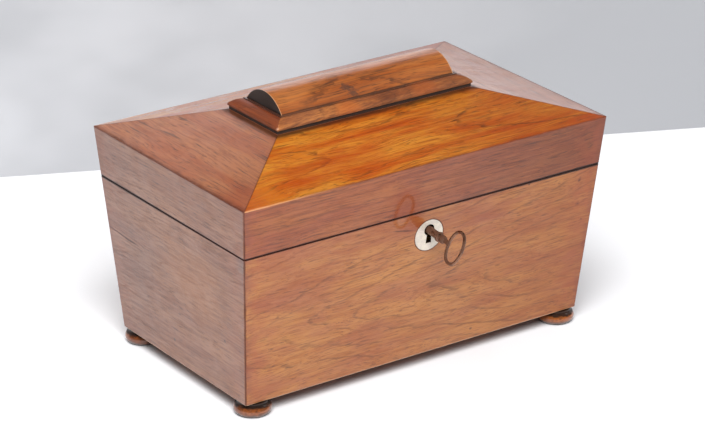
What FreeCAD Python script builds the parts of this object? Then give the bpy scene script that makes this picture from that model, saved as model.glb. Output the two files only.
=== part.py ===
import FreeCAD
import Part
import math
import os

# A small rosewood tea caddy of sarcophagus form: canted sides, a hipped lid with a half-round crest,
# bun feet, two tea compartments with loose inner lids, and a box lock with its key.
# Sizes are millimetres and degrees. X runs along the front, to the right of a person who faces it, Y runs
# from front to back and Z is up. Every piece is drawn about the middle of the case, on the plane that the
# feet stand on, and is written out with the origin at the middle of the whole footprint, key included.

# Case: the sides of the base and of the lid lie in one canted plane
lid_length = 230.0  # along the top arris
lid_width = 144.6
side_height = 113.2  # from the underside of the base to the top arris
lid_depth = 27.1  # from the parting line to the top arris
end_cant = 7.7  # how far each end comes in over the height of the sides
side_cant = 12.6
wall = 9.5  # level thickness of the sides
corner_round = 1.2
parting_gap = 0.1
parting_chamfer = 0.35
underside_chamfer = 0.5
board_thickness = 6.0
board_lip = 3.5  # what the walls leave outside the bottom board

# Hipped roof of the lid
roof_rise = 13.4
roof_thickness = 7.0
mitre_drop = 4.5  # height of the mitre between a lid side and its slope
plateau_margin = 0.3  # crown board beyond the plinth
lining_panel = 2.5
lining_room = 0.2

# Crest on its skirt and plinth
skirt_length = 124.4
skirt_width = 46.8
skirt_depth = 7.4  # width of the moulding, seen from above
skirt_height = 4.8
skirt_edge = 1.1  # square edge below the curve
skirt_swell = 0.6  # bulge of the curve over its chord
skirt_fillet = 1.4  # level strip beside the crest
skirt_quirk = 0.5  # step between the curve and the strip
plinth_height = 2.1
plinth_inset = 0.6
crest_rise = 8.6

# Bun feet
foot_height = 7.5
foot_radius = 10.0
foot_belly = 3.1  # height of the widest line
foot_flat = 6.8  # radius of the face that stands on the table
foot_shoulder = 8.7
foot_shoulder_drop = 1.5  # from the shoulder up to the underside of the base
foot_neck = 8.0
foot_inset_x = 8.4  # from the lower edges of the case to the foot's middle
foot_inset_y = 6.6
peg_radius = 3.0
peg_length = 4.5
peg_room = 0.05

# Inside of the base
lining = 3.0
lining_drop = 9.0  # from the parting line to the top of the linings
divider = 5.0
foil = 0.5
tea_lid = 4.5
tea_lid_round = 1.5
tea_lid_room = 0.5
tea_lid_joint = 0.6
seat_gap = 0.1
knob_radius = 4.6
knob_height = 7.5
knob_foot = 3.4
knob_neck = 2.0
knob_neck_height = 2.2
spigot_radius = 1.8
spigot_length = 3.5
spigot_room = 0.05

# Butt hinges
hinge_margin = 45.0  # from each end of the top arris to a hinge's middle
hinge_length = 25.0
hinge_out = 1.0  # axis behind the back, at the parting line
knuckle_radius = 2.0
knuckle_length = 10.4  # of the lid's middle knuckle
knuckle_gap = 0.3
knuckle_room = 0.3
leaf_width = 8.2  # from the axis to the leaf's edge
leaf_thickness = 1.2
leaf_sink = 0.1
let_in = 0.1  # room round a leaf or plate in its recess
pin_radius = 0.9
pin_hold = 0.02
pin_run = 0.06
leaf_screw_pitch = 8.5

# Screws
screw_head = 1.7
screw_head_height = 0.9
screw_shank = 0.8
screw_length = 6.0
screw_room = 0.05
screw_slot = 0.4

# Box lock, let into the inside of the front wall
key_below_parting = 11.9  # key axis, measured upright
lock_offset = 1.8  # key axis to the right of the middle
lock_plate = 1.0
lock_plate_half = 20.0
lock_plate_drop = 10.0  # below the key axis
selvedge = 1.3
selvedge_sink = 0.1
case_half = 16.0
case_drop = 8.4
case_wall = 0.7
slide_room = 0.2
bolt_thickness = 1.5
bolt_left = 14.6
bolt_right = 11.4
bolt_throw = 3.2  # over a full turn of the key
finger_length = 3.5
finger_height = 1.7
finger_gap = 0.4
finger_room = 0.5
hook_thickness = 1.6
hook_spacing = 16.0
hook_stem = 1.8
hook_nose = 3.4
hook_nose_height = 1.5
hook_room = 0.7
hook_front_room = 0.4
link_half = 18.5
link_thickness = 1.3
link_front = 1.5  # of the link plate before and behind its hooks
link_behind = 1.8
link_screw_x = 15.0
plate_screw_x = 18.0
plate_screw_drop = 5.0
drill_pin = 1.2
drill_pin_room = 0.05

# Escutcheon and keyhole
escutcheon_radius = 8.8
escutcheon_thickness = 1.0
escutcheon_drop = 3.0  # middle of the disc below the key axis
escutcheon_room = 0.12
keyhole_radius = 3.2
keyhole_drop = 7.7
keyhole_top_width = 2.4
keyhole_bottom_width = 3.6

# Key
key_rest_turn = 24.0  # from the way it goes in, clockwise as the front is faced
key_shank = 2.1
key_tip_gap = 0.3
key_pipe_extra = 1.0
bit_reach = 6.6
bit_thickness = 1.8
bit_room = 0.3
talon_room = 0.8
talon_depth = 1.8
talon_gap = 0.4
collar_start = 7.4  # distances from the front face
collar_end = 10.2
collar_radius = 2.9
groove_radius = 1.9
bead_start = 10.8
bead_end = 13.8
bead_radius = 2.5
neck_radius = 1.3
bow_middle = 22.3
bow_half_length = 5.4  # along the key
bow_half_width = 8.7
bow_end_radius = 4.4
bow_wire = 0.85

# Heights
base_z = foot_height
arris_z = base_z + side_height
parting_z = arris_z - lid_depth
base_top_z = parting_z - parting_gap / 2
lid_bottom_z = parting_z + parting_gap / 2
plateau_z = arris_z + roof_rise
plinth_top_z = plateau_z + plinth_height
inner_arris_z = arris_z - mitre_drop
board_top_z = base_z + board_thickness
lining_top_z = parting_z - lining_drop
tea_lid_z = lining_top_z + seat_gap

skirt_half_x = skirt_length / 2
skirt_half_y = skirt_width / 2
plinth_half_x = skirt_half_x - plinth_inset
plinth_half_y = skirt_half_y - plinth_inset
plateau_half_x = plinth_half_x + plateau_margin
plateau_half_y = plinth_half_y + plateau_margin

x_axis = FreeCAD.Vector(1, 0, 0)
y_axis = FreeCAD.Vector(0, 1, 0)
z_axis = FreeCAD.Vector(0, 0, 1)
spare = wall  # how far a cutter runs past what it cuts

# The two corners of each side, with the sides in the order of quarter turns
corner_signs = {
    "front": ((-1, -1), (1, -1)),
    "right": ((1, -1), (1, 1)),
    "back": ((1, 1), (-1, 1)),
    "left": ((-1, 1), (-1, -1)),
}
foot_signs = {"front_left": (-1, -1), "front_right": (1, -1), "back_left": (-1, 1), "back_right": (1, 1)}


# Simple shapes
def at(x, y, z):
    return FreeCAD.Vector(x, y, z)


def box(x0, x1, y0, y1, z0, z1):
    return Part.makeBox(x1 - x0, y1 - y0, z1 - z0, at(x0, y0, z0))


def prism(lower, upper):
    """Solid between two loops of matching corners, both counter-clockwise from above."""
    loops = [lower[::-1], upper]
    for i in range(len(lower)):
        j = (i + 1) % len(lower)
        loops.append([lower[i], lower[j], upper[j], upper[i]])
    faces = [Part.Face(Part.makePolygon(loop + loop[:1])) for loop in loops]
    return Part.makeSolid(Part.makeShell(faces))


def rectangle(half_x, half_y, z):
    return [at(-half_x, -half_y, z), at(half_x, -half_y, z), at(half_x, half_y, z), at(-half_x, half_y, z)]


def pyramid(low, high, z0, z1):
    """Frustum whose sides run through two rectangles, each given as half length, half width and height."""
    loops = []
    for z in (z0, z1):
        share = (z - low[2]) / (high[2] - low[2])
        loops.append(rectangle(low[0] + share * (high[0] - low[0]), low[1] + share * (high[1] - low[1]), z))
    return prism(loops[0], loops[1])


def line(a, b):
    return Part.LineSegment(a, b).toShape()


def arc(a, middle, b):
    return Part.Arc(a, middle, b).toShape()


def bulge(a, b, height):
    """Arc from a to b in an upright XZ plane that stands out to the left of its chord by a height."""
    chord = b - a
    out = at(-chord.z, 0, chord.x)
    out.normalize()
    return arc(a, (a + b) * 0.5 + out * height, b)


def dome(edge, top):
    """Arc from an edge point in the XZ plane up to the Z axis, level where it meets the axis."""
    height = top.z - edge.z
    radius = (edge.x ** 2 + height ** 2) / (2 * height)
    half_angle = math.asin(edge.x / radius) / 2
    middle = at(radius * math.sin(half_angle), 0, top.z - radius * (1 - math.cos(half_angle)))
    return arc(edge, middle, top)


def turned(edges):
    """Solid of revolution about Z of a closed outline in the XZ plane."""
    return Part.Face(Part.Wire(edges)).revolve(at(0, 0, 0), z_axis, 360)


def edges_at(shape, z):
    """Edges of a shape that lie level at one height."""
    near = parting_gap / 10
    return [e for e in shape.Edges if abs(e.BoundBox.ZMin - z) < near and abs(e.BoundBox.ZMax - z) < near]


# The canted case
def half_length(z):
    return lid_length / 2 - end_cant * (arris_z - z) / side_height


def half_width(z):
    return lid_width / 2 - side_cant * (arris_z - z) / side_height


def frustum(z0, z1, inset):
    """Solid that keeps a level distance inside the canted outside of the case."""
    lower = rectangle(half_length(z0) - inset, half_width(z0) - inset, z0)
    upper = rectangle(half_length(z1) - inset, half_width(z1) - inset, z1)
    return prism(lower, upper)


def corners(side, z, inset):
    """The two corners of one side at a height, moved in along the mitres."""
    x = half_length(z) - inset
    y = half_width(z) - inset
    return [at(sx * x, sy * y, z) for sx, sy in corner_signs[side]]


def wedge(side, z0, z1):
    """Everything that belongs to one side of the case, between its two corner mitres."""
    reach = wall + 2 * lining
    lower = corners(side, z0, -reach) + corners(side, z0, reach)[::-1]
    upper = corners(side, z1, -reach) + corners(side, z1, reach)[::-1]
    return prism(lower, upper)


def rounded_case():
    """Outside of the whole case, up to the top of the roof, with its upright corners rounded."""
    solid = frustum(base_z, plateau_z, 0)
    upright = [e for e in solid.Edges if e.BoundBox.ZLength > side_height]
    return solid.makeFillet(corner_round, upright)


def bottom_board():
    return frustum(base_z, board_top_z, board_lip)


def base_walls():
    """Four mitred walls with a rebate for the bottom board."""
    level = box(-lid_length, lid_length, -lid_width, lid_width, base_z, base_top_z)
    solid = rounded_case().common(level)
    solid = solid.makeChamfer(parting_chamfer, edges_at(solid, base_top_z))
    solid = solid.makeChamfer(underside_chamfer, edges_at(solid, base_z))
    ring = solid.cut(frustum(base_z - spare, base_top_z + spare, wall)).cut(bottom_board())
    return {side: ring.common(wedge(side, base_z - spare, base_top_z + spare)) for side in corner_signs}


def linings():
    """Four thin boards that line the walls and carry the inner lids."""
    ring = frustum(board_top_z, lining_top_z, wall)
    ring = ring.cut(frustum(board_top_z - spare, lining_top_z + spare, wall + lining))
    return {side: ring.common(wedge(side, board_top_z, lining_top_z)) for side in corner_signs}


def middle_divider():
    board = box(-divider / 2, divider / 2, -lid_width, lid_width, board_top_z, lining_top_z)
    return board.common(frustum(board_top_z, lining_top_z, wall + lining))


def compartment(sign, inset, z0, z1):
    """Space of one tea compartment, kept off its walls by an inset."""
    loops = []
    for z in (z0, z1):
        near = sign * (divider / 2 + inset)
        far = sign * (half_length(z) - wall - lining - inset)
        depth = half_width(z) - wall - lining - inset
        left, right = min(near, far), max(near, far)
        loops.append([at(left, -depth, z), at(right, -depth, z), at(right, depth, z), at(left, depth, z)])
    return prism(loops[0], loops[1])


def tea_liner(sign):
    """Open foil box that lines one compartment."""
    outside = compartment(sign, 0, board_top_z, lining_top_z)
    return outside.cut(compartment(sign, foil, board_top_z + foil, lining_top_z + spare))


# Inner lids
def tea_lid_middle(sign):
    far = half_length(lining_top_z) - wall - tea_lid_room
    return at(sign * (far + tea_lid_joint / 2) / 2, 0, tea_lid_z + tea_lid)


def inner_lid(sign):
    """Loose lid over one compartment, with a rounded upper edge and a hole for its knob."""
    near = sign * tea_lid_joint / 2
    far = sign * (half_length(lining_top_z) - wall - tea_lid_room)
    depth = half_width(lining_top_z) - wall - tea_lid_room
    top_z = tea_lid_z + tea_lid
    panel = box(min(near, far), max(near, far), -depth, depth, tea_lid_z, top_z)
    panel = panel.makeFillet(tea_lid_round, edges_at(panel, top_z))
    start = tea_lid_middle(sign) - z_axis * (tea_lid + spare)
    hole = Part.makeCylinder(spigot_radius + spigot_room, tea_lid + 2 * spare, start)
    return panel.cut(hole)


def knob(sign):
    """Turned knob with a spigot that is glued into the inner lid."""
    neck = at(knob_neck, 0, knob_neck_height)
    widest = at(knob_radius, 0, (knob_neck_height + knob_height) / 2)
    outline = [
        line(at(0, 0, -spigot_length), at(spigot_radius, 0, -spigot_length)),
        line(at(spigot_radius, 0, -spigot_length), at(spigot_radius, 0, 0)),
        line(at(spigot_radius, 0, 0), at(knob_foot, 0, 0)),
        bulge(at(knob_foot, 0, 0), neck, -(knob_foot - knob_neck) / 4),
        bulge(neck, widest, -(knob_radius - knob_neck) / 4),
        dome(widest, at(0, 0, knob_height)),
        line(at(0, 0, knob_height), at(0, 0, -spigot_length)),
    ]
    solid = turned(outline)
    solid.translate(tea_lid_middle(sign))
    return solid


# Feet
def foot(sign_x, sign_y):
    """Flattened bun foot with a neck under the case and a peg that goes up into the bottom board."""
    shoulder_z = foot_height - foot_shoulder_drop
    lower_swell = belly_swell(foot_radius - foot_flat, foot_belly)
    upper_swell = belly_swell(foot_radius - foot_shoulder, shoulder_z - foot_belly)
    cove = (foot_shoulder - foot_neck) / 3
    top_z = foot_height + peg_length
    outline = [
        line(at(0, 0, 0), at(foot_flat, 0, 0)),
        bulge(at(foot_flat, 0, 0), at(foot_radius, 0, foot_belly), -lower_swell),
        bulge(at(foot_radius, 0, foot_belly), at(foot_shoulder, 0, shoulder_z), -upper_swell),
        bulge(at(foot_shoulder, 0, shoulder_z), at(foot_neck, 0, foot_height), cove),
        line(at(foot_neck, 0, foot_height), at(peg_radius, 0, foot_height)),
        line(at(peg_radius, 0, foot_height), at(peg_radius, 0, top_z)),
        line(at(peg_radius, 0, top_z), at(0, 0, top_z)),
        line(at(0, 0, top_z), at(0, 0, 0)),
    ]
    solid = turned(outline)
    solid.translate(foot_place(sign_x, sign_y))
    return solid


def belly_swell(inwards, height):
    """Bulge over its chord of an arc that leaves the belly upright and ends inwards at a height."""
    radius = (inwards ** 2 + height ** 2) / (2 * inwards)
    half_chord = math.hypot(inwards, height) / 2
    return radius - math.sqrt(radius ** 2 - half_chord ** 2)


def foot_place(sign_x, sign_y):
    x = half_length(base_z) - foot_inset_x
    y = half_width(base_z) - foot_inset_y
    return at(sign_x * x, sign_y * y, 0)


def peg_hole(sign_x, sign_y):
    start = foot_place(sign_x, sign_y) + z_axis * (base_z - spare)
    return Part.makeCylinder(peg_radius + peg_room, peg_length + peg_room + spare, start)


# Lid
def lid_shell():
    """Lid sides and roof in one piece, hollow inside."""
    arris = (lid_length / 2, lid_width / 2, arris_z)
    plateau = (plateau_half_x, plateau_half_y, plateau_z)
    under_plateau = (plateau_half_x, plateau_half_y, plateau_z - roof_thickness)
    outside = rounded_case().common(pyramid(arris, plateau, lid_bottom_z, plateau_z))
    outside = outside.makeChamfer(parting_chamfer, edges_at(outside, lid_bottom_z))
    hollow = frustum(lid_bottom_z - spare, plateau_z, wall)
    tent = pyramid(inner_arris(), under_plateau, lid_bottom_z - spare, plateau_z - roof_thickness)
    return outside.cut(hollow.common(tent))


def inner_arris():
    """Where the inside of the lid's sides meets the underside of its slopes."""
    return (half_length(inner_arris_z) - wall, half_width(inner_arris_z) - wall, inner_arris_z)


def hip_wedge(side):
    """Everything that belongs to one slope of the roof, between its two hips."""
    outer = []
    inner = []
    for sx, sy in corner_signs[side]:
        corner = at(sx * lid_length / 2, sy * lid_width / 2, 0)
        crown = at(sx * plateau_half_x, sy * plateau_half_y, 0)
        outer.append(corner + (corner - crown))
        inner.append(crown)
    plan = outer + inner[::-1]
    lower = [p + z_axis * (lid_bottom_z - spare) for p in plan]
    upper = [p + z_axis * (plateau_z + spare) for p in plan]
    return prism(lower, upper)


def lid_boards():
    """The lid's four sides, four slopes and crown board, mitred along the arris, corners and hips."""
    shell = lid_shell()
    arris = (lid_length / 2, lid_width / 2, arris_z)
    mitre = pyramid(inner_arris(), arris, inner_arris_z, plateau_z + spare)
    sides = shell.cut(mitre)
    roof = shell.common(mitre)
    boards = {}
    for side in corner_signs:
        boards["lid_" + side] = sides.common(wedge(side, lid_bottom_z - spare, plateau_z))
        boards["roof_" + side] = roof.common(hip_wedge(side))
    crown = prism(
        rectangle(plateau_half_x, plateau_half_y, inner_arris_z),
        rectangle(plateau_half_x, plateau_half_y, plateau_z + spare),
    )
    boards["crown_board"] = roof.common(crown)
    return boards


def lid_lining():
    """Covered panel that closes the hollow of the roof."""
    return frustum(inner_arris_z - lining_panel, inner_arris_z, wall + lining_room)


def plinth():
    return box(-plinth_half_x, plinth_half_x, -plinth_half_y, plinth_half_y, plateau_z, plinth_top_z)


def skirt(side):
    """One mitred length of the moulding round the crest: an edge, a curve and a level strip."""
    turns = list(corner_signs).index(side)
    run, off = (skirt_half_x, skirt_half_y) if turns % 2 == 0 else (skirt_half_y, skirt_half_x)
    low = plinth_top_z
    outer_low = at(-off, 0, low)
    outer_high = at(-off, 0, low + skirt_edge)
    curve_high = at(-off + skirt_depth - skirt_fillet, 0, low + skirt_height - skirt_quirk)
    strip_high = at(-off + skirt_depth - skirt_fillet, 0, low + skirt_height)
    inner_high = at(-off + skirt_depth, 0, low + skirt_height)
    inner_low = at(-off + skirt_depth, 0, low)
    outline = [
        line(outer_low, outer_high),
        bulge(outer_high, curve_high, skirt_swell),
        line(curve_high, strip_high),
        line(strip_high, inner_high),
        line(inner_high, inner_low),
        line(inner_low, outer_low),
    ]
    bar = Part.Face(Part.Wire(outline)).extrude(y_axis * 2 * run)
    bar.translate(at(0, -run, 0))
    bar.rotate(at(0, 0, 0), z_axis, 90)
    short = run - skirt_depth
    near = skirt_depth - off
    plan = [(-run, -off), (run, -off), (short, near), (-short, near)]
    lower = [at(x, y, low) for x, y in plan]
    upper = [at(x, y, low + skirt_height) for x, y in plan]
    length = bar.common(prism(lower, upper))
    length.rotate(at(0, 0, 0), z_axis, 90 * turns)
    return length


def crest():
    """Half-round bar on a square foot that stands inside the skirt."""
    half_x = skirt_half_x - skirt_depth
    half_y = skirt_half_y - skirt_depth
    spring_z = plinth_top_z + skirt_height
    foot_left = at(-half_x, -half_y, plinth_top_z)
    foot_right = at(-half_x, half_y, plinth_top_z)
    spring_left = at(-half_x, -half_y, spring_z)
    spring_right = at(-half_x, half_y, spring_z)
    outline = [
        line(foot_left, foot_right),
        line(foot_right, spring_right),
        arc(spring_right, at(-half_x, 0, spring_z + crest_rise), spring_left),
        line(spring_left, foot_left),
    ]
    return Part.Face(Part.Wire(outline)).extrude(x_axis * 2 * half_x)


# Screws
def screw(head, direction, room=0.0):
    """Countersunk screw whose head is flush at a point, or the hole for it when given room."""
    cone = Part.makeCone(screw_head + room, screw_shank + room, screw_head_height, head, direction)
    shank = Part.makeCylinder(screw_shank + room, screw_length + room, head, direction)
    return cone.fuse(shank)


def slotted_screw(head, direction, slot_along):
    """Screw with a driver's slot across its head."""
    across = direction.cross(slot_along)
    start = head - slot_along * screw_head - across * (screw_slot / 2)
    plan = [start, start + slot_along * 2 * screw_head]
    loop = plan + [p + across * screw_slot for p in plan[::-1]]
    slot = Part.Face(Part.makePolygon(loop + loop[:1])).extrude(direction * screw_slot)
    return screw(head, direction).cut(slot)


# Hinges
def hinge_axis(sign):
    return at(sign * (lid_length / 2 - hinge_margin), half_width(parting_z) + hinge_out, parting_z)


def knuckle_spans():
    """Start and end along X, from the hinge's middle, of the base's two knuckles and of the lid's one."""
    half = hinge_length / 2
    middle = knuckle_length / 2
    return [(-half, -middle - knuckle_gap), (middle + knuckle_gap, half)], [(-middle, middle)]


def knuckle_rods(sign, spans, radius, extra):
    rods = []
    for start, end in spans:
        corner = hinge_axis(sign) + x_axis * (start - extra)
        rods.append(Part.makeCylinder(radius, end - start + 2 * extra, corner, x_axis))
    return rods


def leaf_plate(sign, up, room):
    """Flat of a leaf, or its recess when given room; up is 1 on the lid and -1 on the base."""
    axis = hinge_axis(sign)
    half = hinge_length / 2 + room
    open_end = spare if room else 0
    near = parting_z + up * (leaf_sink - open_end)
    far = parting_z + up * (leaf_sink + leaf_thickness + room)
    low, high = min(near, far), max(near, far)
    return box(axis.x - half, axis.x + half, axis.y - leaf_width - room, axis.y, low, high)


def hinge_leaf(sign, up):
    """One leaf with its knuckles, bored for the pin and for its screws."""
    base_spans, lid_spans = knuckle_spans()
    own, other = (lid_spans, base_spans) if up > 0 else (base_spans, lid_spans)
    solid = leaf_plate(sign, up, 0)
    for rod in knuckle_rods(sign, other, knuckle_radius + knuckle_room, knuckle_gap):
        solid = solid.cut(rod)
    for rod in knuckle_rods(sign, own, knuckle_radius, 0):
        solid = solid.fuse(rod)
    bore = pin_radius + (pin_run if up > 0 else pin_hold)
    whole = [(-hinge_length / 2, hinge_length / 2)]
    for rod in knuckle_rods(sign, whole, bore, spare):
        solid = solid.cut(rod)
    for head in leaf_screw_heads(sign, up):
        solid = solid.cut(screw(head, z_axis * up, screw_room))
    return solid.removeSplitter()


def leaf_screw_heads(sign, up):
    axis = hinge_axis(sign)
    y = axis.y - (leaf_width + knuckle_radius) / 2
    z = parting_z + up * leaf_sink
    return [at(axis.x + step * leaf_screw_pitch, y, z) for step in (-1, 0, 1)]


def hinge_pin(sign):
    start = hinge_axis(sign) - x_axis * (hinge_length / 2)
    return Part.makeCylinder(pin_radius, hinge_length, start, x_axis)


def hinge_recess(sign, up):
    """What a hinge takes out of the back of the base or of the lid."""
    cutter = leaf_plate(sign, up, let_in)
    whole = [(-hinge_length / 2, hinge_length / 2)]
    for rod in knuckle_rods(sign, whole, knuckle_radius + knuckle_room, let_in):
        cutter = cutter.fuse(rod)
    for head in leaf_screw_heads(sign, up):
        cutter = cutter.fuse(screw(head, z_axis * up, screw_room))
    return cutter


def hinge_screws(up):
    screws = []
    for sign in (-1, 1):
        screws += [slotted_screw(head, z_axis * up, x_axis) for head in leaf_screw_heads(sign, up)]
    return Part.makeCompound(screws)


# Lock, drawn in the front wall's own frame: X along the front, Y inwards from the outer face and Z up
# the canted face, with the origin where the key's axis meets the outer face
cant = math.degrees(math.atan2(side_cant, side_height))
cant_sin = math.sin(math.radians(cant))
cant_cos = math.cos(math.radians(cant))
key_z = parting_z - key_below_parting
lock_origin = at(lock_offset, -half_width(key_z), key_z)
lock_frame = FreeCAD.Placement(lock_origin, FreeCAD.Rotation(x_axis, cant))
inner_face = wall * cant_cos
plate_face = inner_face - lock_plate
bolt_back = plate_face - slide_room
bolt_front = bolt_back - bolt_thickness
hook_back = bolt_front - hook_room
hook_front = hook_back - hook_thickness
case_inside = hook_front - hook_front_room
case_front = case_inside - case_wall
selvedge_top = (key_below_parting - inner_face * cant_sin) / cant_cos - selvedge_sink
selvedge_bottom = selvedge_top - selvedge
finger_high = selvedge_bottom - slide_room
finger_low = finger_high - finger_height
nose_high = finger_low - finger_gap
nose_low = nose_high - hook_nose_height
talon_high = bit_reach + talon_gap
bolt_low = talon_high - talon_depth
link_start = hook_front - link_front
link_end = hook_back + link_behind
link_low = (key_below_parting - link_start * cant_sin) / cant_cos + parting_gap + leaf_sink
bolt_rate = bolt_throw / 360


def on_front(shape, turn=0.0):
    """Places a shape of the lock's frame on the front wall, turned about the key's axis."""
    moved = shape.copy()
    moved.Placement = lock_frame.multiply(FreeCAD.Placement(at(0, 0, 0), FreeCAD.Rotation(y_axis, turn)))
    return moved


def keyhole(y0, y1, room=0.0):
    """Round hole for the shank over a slot for the bit that widens downwards."""
    top = keyhole_top_width / 2 + room
    bottom = keyhole_bottom_width / 2 + room
    low = -keyhole_drop - room
    loop = [at(-bottom, y0, low), at(bottom, y0, low), at(top, y0, 0), at(-top, y0, 0)]
    slot = Part.Face(Part.makePolygon(loop + loop[:1])).extrude(y_axis * (y1 - y0))
    return slot.fuse(Part.makeCylinder(keyhole_radius + room, y1 - y0, at(0, y0, 0), y_axis))


def escutcheon_disc(radius, thickness):
    return Part.makeCylinder(radius, thickness, at(0, 0, -escutcheon_drop), y_axis)


def escutcheon():
    return escutcheon_disc(escutcheon_radius, escutcheon_thickness).cut(keyhole(-spare, spare))


def plate_outline(room):
    """Lock plate with the selvedge along its top, or their recess when given room."""
    half = lock_plate_half + room
    top = selvedge_top + (spare if room else 0)
    plate = box(-half, half, plate_face - room, inner_face + room, -lock_plate_drop - room, top)
    return plate.fuse(box(-half, half, case_front - room, inner_face + room, selvedge_bottom - room, top))


def case_outline(room):
    """Outside of the lock's cap, or its recess when given room."""
    half = case_half + room
    return box(-half, half, case_front - room, plate_face, -case_drop - room, selvedge_bottom)


def lock_screw_places():
    """Heads and directions of the screws in the selvedge and in the plate."""
    places = []
    for sign in (-1, 1):
        across = (case_front + inner_face) / 2
        places.append((at(sign * plate_screw_x, across, selvedge_top), -z_axis))
        places.append((at(sign * plate_screw_x, inner_face, -plate_screw_drop), -y_axis))
    return places


def hook_ends():
    """Nose tip and outer side along X of each hook."""
    half = (hook_nose + hook_stem) / 2
    return [(sign * hook_spacing / 2 - half, sign * hook_spacing / 2 + half) for sign in (-1, 1)]


def lock_plate_solid():
    solid = plate_outline(0)
    for tip, outer in hook_ends():
        slot = box(
            tip - finger_room, outer + finger_room, hook_front - hook_front_room, hook_back + hook_room,
            selvedge_bottom - spare, selvedge_top + spare,
        )
        solid = solid.cut(slot)
    for head, direction in lock_screw_places():
        solid = solid.cut(screw(head, direction, screw_room))
    hole = Part.makeCylinder(drill_pin + drill_pin_room, 2 * spare, at(0, plate_face, 0), y_axis)
    return solid.cut(hole)


def lock_cap():
    """Thin box that covers the bolt, open to the plate and to the selvedge."""
    inside = box(
        -case_half + case_wall, case_half - case_wall, case_inside, plate_face + spare,
        -case_drop + case_wall, selvedge_bottom + spare,
    )
    return case_outline(0).cut(inside).cut(keyhole(-spare, plate_face))


def lock_pin():
    return Part.makeCylinder(drill_pin, inner_face - case_front, at(0, case_front, 0), y_axis)


def lock_bolt():
    """Sliding bar with a talon for the bit and two fingers that pass over the noses of the hooks."""
    solid = box(-bolt_left, bolt_right, bolt_front, bolt_back, bolt_low, finger_high)
    talon_middle = -(180 - key_rest_turn) * bolt_rate
    talon_half = math.sqrt(bit_reach ** 2 - bolt_low ** 2) + bit_thickness / 2 + talon_room
    talon = box(
        talon_middle - talon_half, talon_middle + talon_half, bolt_front - spare, bolt_back + spare,
        bolt_low - spare, talon_high,
    )
    solid = solid.cut(talon)
    for tip, outer in hook_ends():
        end = tip - finger_room
        solid = solid.fuse(box(end - finger_length, end, hook_front, bolt_back, finger_low, finger_high))
    return solid.removeSplitter()


def lock_screws():
    screws = [on_front(slotted_screw(head, direction, x_axis)) for head, direction in lock_screw_places()]
    return Part.makeCompound(screws)


def link_outline(room):
    """Flat of the link plate, or its recess when given room."""
    half = link_half + room
    low = link_low - (spare if room else 0)
    high = link_low + link_thickness + room
    return box(-half, half, link_start - room, link_end + room, low, high)


def link_screw_places():
    return [(at(sign * link_screw_x, (link_start + link_end) / 2, link_low), z_axis) for sign in (-1, 1)]


def link_plate():
    """Plate in the lid's lower edge with two hooks that drop into the lock."""
    solid = link_outline(0)
    for tip, outer in hook_ends():
        stem = box(outer - hook_stem, outer, hook_front, hook_back, nose_low, link_low)
        nose = box(tip, outer, hook_front, hook_back, nose_low, nose_high)
        solid = solid.fuse(stem).fuse(nose)
    for head, direction in link_screw_places():
        solid = solid.cut(screw(head, direction, screw_room))
    return solid.removeSplitter()


def link_screws():
    screws = [on_front(slotted_screw(head, direction, x_axis)) for head, direction in link_screw_places()]
    return Part.makeCompound(screws)


def front_wall_cutters():
    """What the lock, the keyhole and the escutcheon take out of the front wall."""
    cutters = [plate_outline(let_in), case_outline(let_in), keyhole(-spare, plate_face, let_in)]
    recess = escutcheon_disc(escutcheon_radius + escutcheon_room, spare + escutcheon_thickness + let_in)
    recess.translate(-y_axis * spare)
    cutters.append(recess)
    cutters += [screw(head, direction, screw_room) for head, direction in lock_screw_places()]
    return [on_front(cutter) for cutter in cutters]


def lid_front_cutters():
    cutters = [link_outline(let_in)]
    cutters += [screw(head, direction, screw_room) for head, direction in link_screw_places()]
    return [on_front(cutter) for cutter in cutters]


# Key
def key_stem():
    """Pipe shank with a turned collar and bead, tapering into the bow."""
    tip = plate_face - key_tip_gap
    neck_end = -(bow_middle - bow_half_length)
    outline = [
        line(at(0, 0, tip), at(key_shank, 0, tip)),
        line(at(key_shank, 0, tip), at(key_shank, 0, -collar_start)),
        bulge(at(key_shank, 0, -collar_start), at(groove_radius, 0, -collar_end), collar_radius - key_shank),
        line(at(groove_radius, 0, -collar_end), at(groove_radius, 0, -bead_start)),
        bulge(at(groove_radius, 0, -bead_start), at(neck_radius, 0, -bead_end), bead_radius - groove_radius),
        line(at(neck_radius, 0, -bead_end), at(neck_radius, 0, neck_end)),
        line(at(neck_radius, 0, neck_end), at(0, 0, neck_end)),
        line(at(0, 0, neck_end), at(0, 0, tip)),
    ]
    stem = turned(outline)
    stem.rotate(at(0, 0, 0), x_axis, -90)
    bore_depth = tip - case_front + key_pipe_extra
    bore = Part.makeCylinder(drill_pin + drill_pin_room, bore_depth, at(0, tip, 0), -y_axis)
    return stem.cut(bore)


def bow_bend(middle_y, middle_z, radius, start, sweep):
    """Part of a ring of wire in the YZ plane, from a start angle through a sweep about X."""
    middle = at(0, middle_y - bow_middle, middle_z)
    angle = math.radians(start)
    out = at(0, math.cos(angle), math.sin(angle))
    along = at(0, -math.sin(angle), math.cos(angle))
    section = Part.Face(Part.Wire(Part.Circle(middle + out * radius, along, bow_wire).toShape()))
    return section.revolve(middle, x_axis, sweep)


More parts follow.
